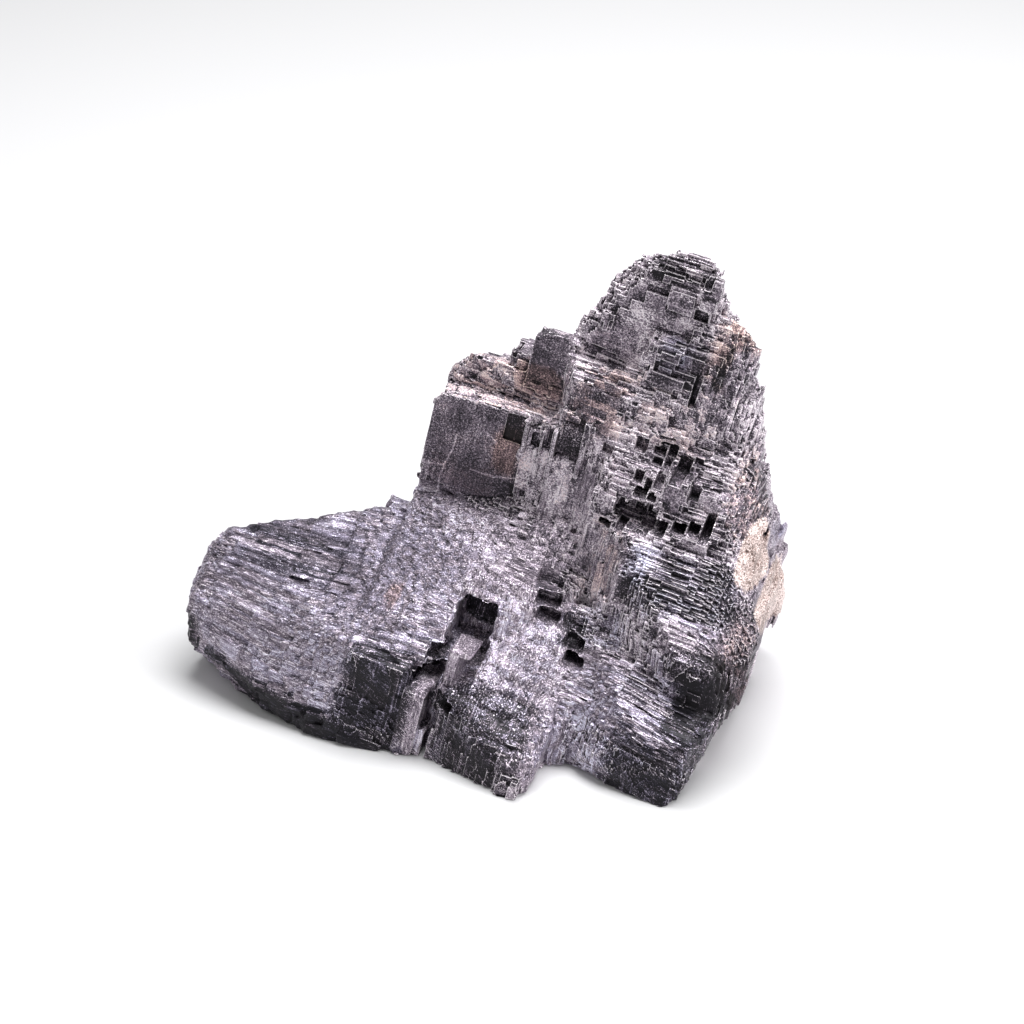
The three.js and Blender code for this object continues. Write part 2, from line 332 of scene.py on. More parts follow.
# Least and most of what is drawn for each brick.
STRETCH = (0.75, 1.3)  # its measures are taken this many times when they are compared
SPLIT_AT = (1.0, 1.9)  # it is split above this many times the most that it may measure
RELIEF_AT = (0.8, 1.6)  # it is split above this many times its relief
CUT_AT = (0.25, 0.75)  # where along it the cut falls
HOLD_AT = (0.3, 0.7)  # how full it has to be to stay


def facing(total):
    """How much the nearby surface faces a, b and c, on a coarser grid."""
    shape = np.array(total.shape) - 1
    stops = [np.arange(0, n + 1, STRIDE) for n in shape]
    low = [np.maximum(s - REACH, 0) for s in stops]
    high = [np.minimum(s + REACH, n) for s, n in zip(stops, shape)]

    def filled(start, end):
        at = [total[np.ix_(*corner)] for corner in itertools.product(*zip(start, end))]
        return at[7] - at[6] - at[5] - at[3] + at[4] + at[2] + at[1] - at[0]

    parts = []
    for n in range(3):
        first, second = list(high), list(low)
        first[n] = second[n] = stops[n]
        parts.append(np.abs(filled(low, first) - filled(second, high)).astype(np.float32))
    length = np.maximum(np.sqrt(sum(p * p for p in parts)), 1)
    return [p / length for p in parts]


def cleave(solid, planes, level, draw):
    """Splits the grid into bricks along its planes. A brick that straddles the surface breaks away or
    stays whole. Returns the cells that stay and each cell's brick number."""
    total = running_totals(solid)
    facings = facing(total)
    brick = np.zeros(solid.shape, np.int32)
    result = solid.copy()
    count = 0
    todo = [(0, solid.shape[0], 0, solid.shape[1], 0, solid.shape[2])]
    while todo:
        i0, i1, j0, j1, k0, k1 = box = todo.pop()
        filled = int(total[i1, j1, k1] - total[i0, j1, k1] - total[i1, j0, k1] - total[i1, j1, k0]
                     + total[i0, j0, k1] + total[i0, j1, k0] + total[i1, j0, k0] - total[i0, j0, k0])
        if filled == 0:
            continue
        cells = (i1 - i0) * (j1 - j0) * (k1 - k0)
        extent = [float(planes[n][box[2 * n + 1]] - planes[n][box[2 * n]]) for n in range(3)]
        longest = max(extent)
        if filled < cells or longest > LONGEST:
            centre = [float(planes[n][box[2 * n + 1]] + planes[n][box[2 * n]]) / 2 for n in range(3)]
            region = region_at(centre, draw) if longest < LONGEST else REGIONS["elsewhere"]
            *size, relief = region[level]
            stop = [(box[2 * n] + box[2 * n + 1]) // (2 * STRIDE) for n in range(3)]
            normal = [float(f[stop[0], stop[1], stop[2]]) for f in facings]
            free = [box[2 * n + 1] - box[2 * n] > 1 for n in range(3)]
            excess = [extent[n] / size[n] * draw.uniform(*STRETCH) if free[n] else 0 for n in range(3)]
            widest = excess.index(max(excess))
            split = excess[widest] > draw.uniform(*SPLIT_AT)
            if sum(normal) == 0 and not split:
                widest = extent.index(longest)
                split = longest > LONGEST_UNSEEN
            elif not split:
                depth = sum(p * e for p, e in zip(normal, extent))
                if depth > relief * draw.uniform(*RELIEF_AT):
                    excess = [normal[n] * extent[n] if free[n] else 0 for n in range(3)]
                    widest = excess.index(max(excess))
                    split = excess[widest] > 0
            if split:
                first, last = box[2 * widest], box[2 * widest + 1]
                cut = round((last - first) * draw.uniform(*CUT_AT))
                cut = first + max(1, min(last - first - 1, cut))
                for bounds in ((first, cut), (cut, last)):
                    part = list(box)
                    part[2 * widest:2 * widest + 2] = bounds
                    todo.append(tuple(part))
                continue
            if filled < cells and (max(normal) < FLAT or draw.random() < region[CHIPPED]):
                result[i0:i1, j0:j1, k0:k1] = filled > cells * draw.uniform(*HOLD_AT)
        count += 1
        brick[i0:i1, j0:j1, k0:k1] = count
    return result, brick


MENDING = 8  # the most rounds of it


def mend_diagonals(solid):
    """Fills one cell wherever two cells would touch along an edge only."""
    for _ in range(MENDING):
        changed = 0
        for first, second in ((0, 1), (0, 2), (1, 2)):
            view = np.moveaxis(solid, (first, second), (0, 1))
            low, high = view[:-1, :-1], view[1:, 1:]
            right, left = view[1:, :-1], view[:-1, 1:]
            rising = low & high & ~right & ~left
            falling = right & left & ~low & ~high
            changed += int(rising.sum() + falling.sum())
            right[rising] = True
            low[falling] = True
        if not changed:
            return


# ---------------------------------------------------------------- the surface

def surface(solid, planes):
    """The faces between full and empty cells, as corner points and quads that point out."""
    padded = np.pad(solid, 1)
    shape = np.array(padded.shape) + 1
    quads = []
    for axis in range(3):
        step = np.diff(padded.astype(np.int8), axis=axis)
        for sign in (1, -1):
            cell = np.argwhere(step == sign)
            cell[:, axis] += 1
            around = [n for n in range(3) if n != axis]
            ring = np.zeros((4, 3), np.int64)
            ring[1, around[0]] = ring[2, around[0]] = 1
            ring[2, around[1]] = ring[3, around[1]] = 1
            if (sign == 1) != (axis == 1):
                ring = ring[::-1]
            corner = cell[:, None, :] + ring[None]
            quads.append((corner[..., 0] * shape[1] + corner[..., 1]) * shape[2] + corner[..., 2])
    quads = np.concatenate(quads)
    used, index = np.unique(quads.ravel(), return_inverse=True)
    k = used % shape[2]
    j = used // shape[2] % shape[1]
    i = used // (shape[1] * shape[2])
    points = np.stack([planes[0][i - 1], planes[1][j - 1], planes[2][k - 1]], 1)
    return points.astype(np.float64), index.reshape(-1, 4)


def largest_shell(quads, count):
    """The quads of the biggest connected shell: loose crumbs and closed holes are dropped."""
    label = np.arange(count)
    edges = np.concatenate([quads[:, [0, 1]], quads[:, [1, 2]], quads[:, [2, 3]]])
    while True:
        least = np.minimum(label[edges[:, 0]], label[edges[:, 1]])
        before = label.copy()
        np.minimum.at(label, label[edges[:, 0]], least)
        np.minimum.at(label, label[edges[:, 1]], least)
        while True:
            jumped = label[label]
            if (jumped == label).all():
                break
            label = jumped
        if (before == label).all():
            break
    shell = label[quads[:, 0]]
    names, sizes = np.unique(shell, return_counts=True)
    return quads[shell == names[sizes.argmax()]]


SOFTENING = 6  # rounds of it
LEVELLING = 6  # rounds of it
LEVEL = {  # how far each round of it goes
    "apron": 0.5, "wall foot": 0.4, "apron front": 0.2,
    "lobe": 0.2, "lobe underside": 0.4, "gangue": 0.4,
}
TRIANGLES = 168000  # what the mesh is thinned to
LONGEST_EDGE = 3.4
SPLITTING = 4  # rounds in which longer edges are halved
INWARD = 0.2  # how far behind a face its brick is looked up
SHARP = 28  # degrees between two faces that are shaded apart


def by_region(points, values):
    """The value of the region that each point is in."""
    result = np.zeros(len(points))
    for name in reversed(REGIONS):
        low, high = REGIONS[name][:2]
        result[((points >= low) & (points <= high)).all(1)] = values[name]
    return result


def neighbours(quads):
    """Each pair of points that share an edge, both ways round."""
    pairs = np.concatenate([quads[:, [n, (n + 1) % 4]] for n in range(4)])
    return np.concatenate([pairs, pairs[:, ::-1]])


def drift(points, pairs):
    """From each point to the middle of its neighbours."""
    count = np.maximum(np.bincount(pairs[:, 0], minlength=len(points)), 1)[:, None]
    around = [np.bincount(pairs[:, 0], points[pairs[:, 1], n], len(points)) for n in range(3)]
    return np.stack(around, 1) / count - points


def softened(points, quads):
    """Draws each point towards its neighbours by how soft its region is, but never across the region's
    laths, so that they end in slopes and keep their sides."""
    pairs = neighbours(quads)
    across = np.where(by_region(points, {name: name in UPRIGHT for name in REGIONS}) > 0, 0, 1)
    runs = np.abs(points[pairs[:, 0]] - points[pairs[:, 1]]).argmax(1)
    pairs = pairs[runs != across[pairs[:, 0]]]
    count = np.bincount(pairs[:, 0], minlength=len(points))[:, None]
    soft = by_region(points, SOFTNESS)[:, None] * (count > 0)
    for _ in range(SOFTENING):
        points = points + soft * drift(points, pairs)
    return points


def levelled(points, quads):
    """Smooths the level regions every way."""
    pairs = neighbours(quads)
    level = by_region(points, {name: LEVEL.get(name, 0) for name in REGIONS})[:, None]
    for _ in range(LEVELLING):
        points = points + level * drift(points, pairs)
    return points


def mesh_from(name, points, quads):
    mesh = bpy.data.meshes.new(name)
    used, index = np.unique(quads.ravel(), return_inverse=True)
    mesh.vertices.add(len(used))
    mesh.vertices.foreach_set("co", points[used].astype(np.float32).ravel())
    mesh.loops.add(quads.size)
    mesh.loops.foreach_set("vertex_index", index.astype(np.int32))
    mesh.polygons.add(len(quads))
    mesh.polygons.foreach_set("loop_start", np.arange(0, quads.size, 4, dtype=np.int32))
    mesh.update(calc_edges=True)
    mesh.validate()
    return mesh


def thinned(mesh, triangles):
    """The same mesh with about that many triangles, its flat faces merged first."""
    work = bpy.data.objects.new("work", mesh)
    bpy.context.scene.collection.objects.link(work)
    modifier = work.modifiers.new("thin", "DECIMATE")
    modifier.ratio = min(1.0, triangles / (2 * len(mesh.polygons)))
    modifier.use_collapse_triangulate = True
    result = bpy.data.meshes.new_from_object(work.evaluated_get(bpy.context.evaluated_depsgraph_get()))
    bpy.data.objects.remove(work)
    bpy.data.meshes.remove(mesh)
    return result


def evened(mesh, longest):
    """Splits the long edges of flat faces, so that the looks have points to vary between."""
    work = bmesh.new()
    work.from_mesh(mesh)
    for _ in range(SPLITTING):
        edges = [edge for edge in work.edges if edge.calc_length() > longest]
        if not edges:
            break
        bmesh.ops.subdivide_edges(work, edges=edges, cuts=1)
        bmesh.ops.triangulate(work, faces=[face for face in work.faces if len(face.verts) > 3])
    work.to_mesh(mesh)
    work.free()


def vectors(items, name):
    flat = np.empty(len(items) * 3, np.float32)
    items.foreach_get(name, flat)
    return flat.reshape(-1, 3).astype(float)


def add_attribute(mesh, name, domain, values):
    kind, key = ("FLOAT_VECTOR", "vector") if values.ndim == 2 else ("FLOAT", "value")
    attribute = mesh.attributes.new(name, kind, domain)
    attribute.data.foreach_set(key, values.astype(np.float32).ravel())


def ridges(mesh):
    """How sharply each point stands out of what is around it, from -1 in a corner to 1 on a crest."""
    points = vectors(mesh.vertices, "co")
    ends = np.empty(len(mesh.edges) * 2, np.int32)
    mesh.edges.foreach_get("vertices", ends)
    ends = np.concatenate([ends.reshape(-1, 2), ends.reshape(-1, 2)[:, ::-1]])
    step = points[ends[:, 0]] - points[ends[:, 1]]
    step /= np.maximum(np.linalg.norm(step, axis=1), 1e-9)[:, None]
    count = np.maximum(np.bincount(ends[:, 0], minlength=len(points)), 1)
    away = [np.bincount(ends[:, 0], step[:, n], len(points)) for n in range(3)]
    return (np.stack(away, 1) / count[:, None] * vectors(mesh.vertex_normals, "vector")).sum(1)


def cleaved_solid():
    """The cells that stay, each cell's terrace and brick, and the planes between the cells."""
    draw = random.Random(SEED)
    inside, low = sampled_solid(NODE)
    high = low + np.array(inside.shape) * PROBE
    planes = [cleavage_planes(low[n], high[n], draw) for n in range(3)]
    middles = [(p[1:] + p[:-1]) / 2 for p in planes]
    axes = np.ix_(*middles)
    shift = bend(*axes)
    sample = []
    for n, axis in enumerate(axes):
        index = ((axis + shift[n] - low[n]) / PROBE).astype(np.int32)
        sample.append(np.clip(index, 0, inside.shape[n] - 1))
    solid = inside[sample[0], sample[1], sample[2]]
    solid, terrace = cleave(solid, planes, TERRACES, draw)
    work_boxes(solid, middles, STANDING, True)
    solid, brick = cleave(solid, planes, BRICKS, draw)
    work_boxes(solid, middles, BROKEN_OUT, False)
    mend_diagonals(solid)
    return solid, terrace, brick, planes


def add_looks(mesh, terrace, brick, planes):
    """Adds the attributes that the material reads. The mesh's points are still a, b and c, not yet bent."""
    points = vectors(mesh.vertices, "co")
    add_attribute(mesh, "grain", "POINT", points)
    for name, places in LOOKS.items():
        add_attribute(mesh, name, "POINT", look_at(points, places))
    add_attribute(mesh, "ridge", "POINT", ridges(mesh))
    centres = vectors(mesh.polygons, "center")
    # Faces in the broken-out boxes, which the material paints darker as shade in the recesses.
    add_attribute(mesh, "hollow_shade", "FACE", inside_boxes(centres, BROKEN_OUT))
    behind = centres - INWARD * vectors(mesh.polygons, "normal")
    cell = [np.searchsorted(planes[n], behind[:, n]) - 1 for n in range(3)]
    cell = tuple(np.clip(cell[n], 0, brick.shape[n] - 1) for n in range(3))
    chance = np.random.default_rng(SEED).random((brick.max() + 1, 4))[brick[cell]]
    add_attribute(mesh, "brick", "FACE", chance[:, :3] - 0.5)
    add_attribute(mesh, "tone", "FACE", chance[:, 3])
    chance = np.random.default_rng(SEED).random(terrace.max() + 1)
    add_attribute(mesh, "terrace", "FACE", chance[terrace[cell]])
    add_attribute(mesh, "upright", "POINT", by_region(points, {name: name in UPRIGHT for name in REGIONS}))
    add_attribute(mesh, "slanted", "POINT", by_region(points, {name: name in SLANTED for name in REGIONS}))
    add_attribute(mesh, "soft", "POINT", by_region(points, SOFTNESS))


def build_lump():
    solid, terrace, brick, planes = cleaved_solid()
    points, quads = surface(solid, planes)
    quads = largest_shell(quads, len(points))
    points = levelled(softened(points, quads), quads)
    mesh = thinned(mesh_from("lump", points, quads), TRIANGLES)
    evened(mesh, LONGEST_EDGE)
    add_looks(mesh, terrace, brick, planes)
    straight = vectors(mesh.vertices, "co")
    carried = straight + np.stack(bend(*straight.T), 1) + np.stack(ripple(*straight.T), 1)
    placed = np.clip(from_crystal(carried), cad_box[0], cad_box[1])
    mesh.vertices.foreach_set("co", placed.astype(np.float32).ravel())
    mesh.update()
    mesh.set_sharp_from_angle(angle=math.radians(SHARP))
    lump = bpy.data.objects.new("galena_lump", mesh)
    bpy.context.scene.collection.objects.link(lump)
    return lump


# ---------------------------------------------------------------- looks

# Where the surface departs from the usual grey: middle, reach along a, b and c, and strength.
LOOKS = {
    # Painted shade and painted dark reflections: the front cleavage faces, under the lobe, the pits, the
    # recesses and the lines along the lobe.
    "dark": [
        ((-22, -23, 7), (9.5, 6, 11), 1.0),  # front faces
        ((4, -26, 7), (12, 7.5, 13), 1.0),
        ((47, -24, 11), (13, 9, 12), 1.0),
        ((50, -13, 28), (6.5, 7, 15), 1.0),
        ((47, -12, 37), (8, 6, 4), 0.8),
        ((-44, -26, -10.5), (34, 12, 8), 1.0),  # under the lobe
        ((-80, -8, -4), (8, 16, 8), 0.9),
        ((7, 3, 35), (4, 5, 5), 0.35),  # strips of the apron
        ((15, -2, 29), (3.4, 5, 5), 0.7),
        ((26, -2, 46), (3.4, 5, 3.4), 1.0),  # faces on the ramp
        ((31, -3, 48), (3, 5, 3.4), 0.9),
        ((39, -1, 49.5), (4, 5, 3), 0.6),
        ((47, -1, 50), (5, 5, 4), 0.6),
        ((34, 1, 54), (4, 4, 2), 0.6),
        ((44, 3, 55), (5, 4, 2.6), 0.8),
        ((21, 16, 66), (4.5, 5, 9), 0.3),  # pits
        ((22, 18, 73), (3.6, 4, 3), 0.6),
        ((27, 19, 72), (2.4, 4, 2.4), 1.0),
        ((32, 12, 61), (7, 5, 2.4), 0.6),
        ((-0.4, 19, 69), (3.4, 5, 5), 1.0),
        ((-15, 21, 64), (3, 4, 4), 0.7),
        ((13, 30, 113.5), (7.6, 4, 2.2), 0.9),  # peak
        ((1, 28, 97), (2.4, 4, 2), 0.6),
        ((20, 29, 104), (2.4, 6, 2), 1.0),
        ((22.6, 25, 93), (1.4, 6, 8), 0.9),
        ((28, 27, 95), (1.6, 6, 6), 0.8),
        ((11, 26, 100), (5, 4, 2.6), 0.4),
        ((-58, 6, 20), (16, 10, 3), 0.45),  # lines along the lobe
        ((-54, 5, 21), (11, 3, 1.4), 0.4),
        ((-64, 2, 18), (8, 1.6, 1.0), 0.7),
        ((-46, -2, 22), (9, 1.4, 1.0), 0.5),
        ((-75, 2, 15), (6, 5, 2), 0.6),
        ((-7.3, 0, 26), (4.6, 4, 5), 1.0),
        ((-13.5, -12, 18), (2.4, 5, 3.4), 0.9),
        ((-6, -18, 11), (4.4, 5, 3.2), 1.0),
    ],
    # Painted shade: dimmer, calmer patches on the wall, the peak's blocks, the right side and along the
    # lobe.
    "painted_dimming": [
        ((-25, 21, 53), (12.6, 4, 13.4), 1.0),  # the wall, tooth and panel
        ((-12, 26, 80), (6, 5, 9), 1.0),
        ((3, 19, 79), (5, 5, 8), 1.0),
        ((1, 27, 91), (6, 5, 4.6), 1.0),  # blocks of the peak
        ((17, 23, 94.5), (4.6, 5, 5), 0.6),
        ((31, 28, 94), (4.4, 5, 5), 1.0),
        ((24, 24, 108), (3.4, 4, 4), 0.8),
        ((9, 27, 105), (9, 4, 3), 0.8),
        ((29, 11, 67), (4, 5, 4), 1.0),  # the block by the pits
        ((-1, 20, 60), (5, 5, 8), 0.5),
        ((40, -10, 32), (8, 5, 5), 1.0),
        ((56, 2, 36), (9, 12, 14), 1.0),  # the right side
        ((42, 0, 49), (14, 8, 8), 0.6),
        ((-62, 12, 19), (22, 6, 6), 0.65),  # along the back of the lobe
        ((-38, 0, 26), (15, 14, 12), 0.5),
        ((-24, 2, 30), (14, 10, 10), 0.46),
        ((47, 24, 70), (6, 14, 14), 0.6),  # the right edge
        ((33, 32, 100), (6, 8, 8), 0.8),
        ((-19, 33, 79), (5, 8, 5), 0.8),
    ],
    "shade": [
        ((-44, -26, -11), (31, 12, 8), 1.0),  # under the lobe
        ((-80, -8, -5), (8, 16, 7), 0.8),
        ((-22, -23, 7), (8.5, 6, 10), 0.8),
        ((49, -12, 28), (5, 6, 10), 0.6),
        ((4, -27, 2), (8, 6, 8), 0.5),
        ((47, -24, 9), (12, 7, 8), 0.6),
        ((-25, 21, 53), (12.6, 4, 13.4), 0.42),  # the wall
        ((57, 0, 32), (6, 12, 10), 0.6),
        ((-12, 26, 81), (6, 5, 8), 0.5),
    ],
    # Partly paler broken surface, partly painted light on ledges, the cap and the cheek of the cleft.
    "pale": [
        ((2, -8, 28), (4, 9, 12), 0.7),
        ((19, -14, 18), (8, 8, 8), 0.4),
        ((44, -9, 44), (10, 7, 3), 0.7),
        ((-6, 26, 86), (3, 5, 6), 0.7),
        ((-2, 23, 84), (6, 4, 3), 0.9),
        ((15, 18, 77), (12, 5, 2.6), 0.5),
        ((-22, 22, 69), (14, 5, 3.4), 0.6),
        ((-34, -7, 25), (5, 6, 4), 0.6),
        ((15, -28, 4), (5, 5, 9), 0.3),
        ((-6, -18, 20), (3, 6, 5), 0.9),
        ((31, 24, 104), (9, 8, 9), 0.5),
        ((19, 28, 112), (8, 8, 5), 0.5),
        ((-66, -12, 8), (5, 6, 5), 0.4),
        ((-76, 2, 12), (4, 8, 5), 0.5),
        ((21, 24, 101), (4, 6, 5), 0.6),
        ((33, 24, 84), (8, 8, 6), 0.3),
        ((37, 18, 71), (4, 6, 4), 0.5),
        ((30, 16, 72), (10, 8, 5), 0.5),
        ((0, -14, 22), (8, 8, 8), 0.5),
        ((8, 31, 117), (10, 8, 2.6), 0.8),
        ((44, 20, 72), (5, 8, 9), 0.4),
        ((-14.2, -22, 6), (2.2, 6, 11), 0.9),
    ],
    "warm": [
        ((-13.5, 26, 75.5), (6, 6, 3.4), 1.0),
        ((-25, 21, 53), (12.6, 4, 13.4), 0.2),
        ((-16, 21, 57), (3, 4, 6), 1.0),
        ((-22, 24, 72), (14, 7, 6), 0.4),
        ((3, 19, 80), (7, 6, 8), 0.4),
        ((15, 18, 82), (18, 8, 9), 0.2),
        ((32, 29, 103), (6, 8, 4), 0.7),
        ((27, 26, 98), (3, 8, 8), 0.5),
        ((44, 20, 68), (5, 10, 9), 0.4),
        ((-28, -7, 25), (1.8, 4, 3), 1.0),
        ((18, 5, 46), (6, 6, 10), 0.3),
        ((56, -2, 38), (6, 8, 14), 0.4),
    ],
    "blue": [
        ((25, -1, 52), (3.4, 5, 4.6), 0.6),
        ((21, -1, 34), (6, 6, 6), 0.4),
        ((39, -1, 50), (14, 8, 8), 0.35),
        ((-45, 0, 12), (42, 36, 30), 0.42),
        ((0, -14, 20), (18, 18, 16), 0.36),
        ((36, -20, 20), (22, 12, 20), 0.42),
        ((17, 23, 94.5), (4, 5, 4.6), 0.5),
        ((43, -22, 10), (14, 9, 9), 0.3),
        ((-48, -24, -5), (36, 13, 9), 0.3),
        ((53, 38, 57), (4, 10, 8), 0.5),
    ],
    "gangue": [
        ((49, 15, 57), (3.2, 8, 6), 1.0),
        ((56, 22, 48), (3.4, 14, 8), 1.2),
        ((57, 30, 42), (4, 10, 6), 1.1),
    ],
}
# Thin pale cracks, each from one a, b and c to another.
CRACKS = [
    ((-28.3, 21, 57), (-29.6, 21, 48)), ((-29.6, 21, 48), (-30.2, 21, 37)),
    ((-35.5, 21, 46), (-30, 21, 47.5)), ((-23.5, 21, 48.5), (-17, 21, 48.8)),
    ((-17, 21, 48.8), (-11, 21, 51)), ((-22, 21, 60), (-18, 21, 58.4)),
    ((9.5, 4, 40), (9.9, 0, 33)), ((9.9, 0, 33), (10.8, -7, 24)),
    ((10.8, -7, 24), (12.4, -14, 14)), ((-24.3, -23, 15), (-25.3, -23, 2)),
    ((10.6, 19, 82), (11.8, 19, 76)), ((15.4, 19, 82), (14.9, 19, 77)),
]
CRACK = 0.16  # their half width
CRACK_SIGHT = 0.08  # how much a point's distance in front of or behind a crack counts

SOFT_EDGE = 0.3  # how far a look's border fades, of its reach
BOXINESS = 6  # the higher, the more a look's outline is a box and not an ellipse


def look_at(points, places):
    """How much of a look there is at each point, from 0 to 1."""
    amount = np.zeros(len(points))
    for centre, spread, strength in places:
        away = (((points - centre) / spread) ** BOXINESS).sum(1) ** (1 / BOXINESS)
        share = np.clip((1 + SOFT_EDGE - away) / (2 * SOFT_EDGE), 0, 1)
        amount = np.maximum(amount, strength * share)
    return amount


class Nodes:
    """Short names for the nodes of one material."""

    def __init__(self, name):
        self.material = bpy.data.materials.new(name)
        self.material.use_nodes = True
        self.tree = self.material.node_tree
        self.shader = self.tree.nodes["Principled BSDF"]

    def link(self, socket, value):
        if isinstance(value, bpy.types.NodeSocket):
            self.tree.links.new(value, socket)
        else:
            socket.default_value = value

    def make(self, kind, inputs=(), **settings):
        node = self.tree.nodes.new(kind)
        for key, value in settings.items():
            setattr(node, key, value)
        for key, value in dict(inputs).items():
            self.link(node.inputs[key], value)
        return node

    def math(self, operation, *inputs, **settings):
        return self.make("ShaderNodeMath", enumerate(inputs), operation=operation, **settings).outputs[0]

    def vector_math(self, operation, *inputs, output="Vector"):
        return self.make("ShaderNodeVectorMath", enumerate(inputs), operation=operation).outputs[output]

    def sum(self, *terms):
        total = terms[0]
        for term in terms[1:]:
            total = self.math("ADD", total, term)
        return total

    def times(self, first, *others):
        for other in others:
            first = self.math("MULTIPLY", first, other)
        return first

    def least(self, first, *others):
        for other in others:
            first = self.math("MINIMUM", first, other)
        return first

    def around(self, value, amount, middle=0.5):
        """value's swing about its middle, scaled."""
        return self.math("MULTIPLY_ADD", value, amount, -middle * amount)

    def dot(self, first, second):
        return self.vector_math("DOT_PRODUCT", first, second, output="Value")

    def scaled(self, vector, amount):
        inputs = {0: vector, "Scale": amount}
        return self.make("ShaderNodeVectorMath", inputs, operation="SCALE").outputs["Vector"]

    def step(self, value, low, high, start=0.0, end=1.0):
        """From start to end, smoothly, while value goes from low to high."""
        inputs = {"Value": value, "From Min": low, "From Max": high, "To Min": start, "To Max": end}
        return self.make("ShaderNodeMapRange", inputs, interpolation_type="SMOOTHSTEP").outputs["Result"]

    def where(self, amount, start, end):
        """From start to end while amount goes from 0 to 1."""
        return self.step(amount, 0, 1, start, end)

    def value(self, name):
        return self.make("ShaderNodeAttribute", attribute_name=name).outputs["Fac"]

    def vector(self, name):
        return self.make("ShaderNodeAttribute", attribute_name=name).outputs["Vector"]

    def noise(self, place, scale, detail=2.0, roughness=0.6, offset=(0, 0, 0)):
        place = self.vector_math("MULTIPLY_ADD", place, scale, offset)
        inputs = {"Vector": place, "Scale": 1.0, "Detail": detail, "Roughness": roughness}
        return self.make("ShaderNodeTexNoise", inputs).outputs["Fac"]

    def off_line(self, place, start, end):
        """How far a place is from a line, which counts little in front of it or behind it."""
        start, along = Vector(start), Vector(end) - Vector(start)
        offset = self.vector_math("SUBTRACT", place, start)
        share = self.dot(offset, along / along.length_squared)
        share = self.math("MULTIPLY", share, 1.0, use_clamp=True)
        away = self.vector_math("SUBTRACT", offset, self.scaled(along, share))
        away = self.vector_math("MULTIPLY", away, (1, CRACK_SIGHT, 1))
        return self.vector_math("LENGTH", away, output="Value")

    def either(self, amount, first, second):
        """The first value where amount is 0, and the second where it is 1."""
        return self.make("ShaderNodeMix", {0: amount, 2: first, 3: second}).outputs[0]

    def mix(self, amount, first, second, blend="MIX"):
        """The same for colours."""
        inputs = {0: amount, 6: first, 7: second}
        return self.make("ShaderNodeMix", inputs, data_type="RGBA", blend_type=blend).outputs[2]

    def colours(self, value, stops):
        ramp = self.make("ShaderNodeValToRGB", {"Fac": value})
        elements = ramp.color_ramp.elements
        while len(elements) < len(stops):
            elements.new(0.5)
        for element, (position, colour) in zip(elements, stops):
            element.position = position
            element.color = (*colour, 1)
        return ramp.outputs["Color"]


# From the darkest cleavage face to a bright edge.
GREYS = [
    (0.0, (0.010, 0.0085, 0.0115)), (0.2, (0.044, 0.037, 0.050)), (0.45, (0.18, 0.148, 0.186)),
    (0.7, (0.45, 0.375, 0.45)), (1.0, (0.95, 0.88, 0.93)),
]
GANGUE = [(0.0, (0.13, 0.085, 0.075)), (0.5, (0.47, 0.35, 0.32)), (1.0, (0.93, 0.79, 0.77))]
# Tints that the grey is multiplied by.
WARM = (1.16, 0.95, 0.80, 1)
BLUE = (0.86, 0.95, 1.10, 1)
EVEN = (1, 1, 1, 1)

LEAN = ((0.89, 0, -0.46), (0, 1, 0), (0.46, 0, 0.89))  # the directions of the leaning strokes
EDGE_RADIUS, EDGE_SAMPLES = 0.4 * MM, 6  # of the bevel that finds the edges, which get wear and painted highlights
BUMP_DEPTH = 0.6 * MM
BRICK_TILT = 0.16  # how far a brick's face may lean, so that each catches the light in its own way


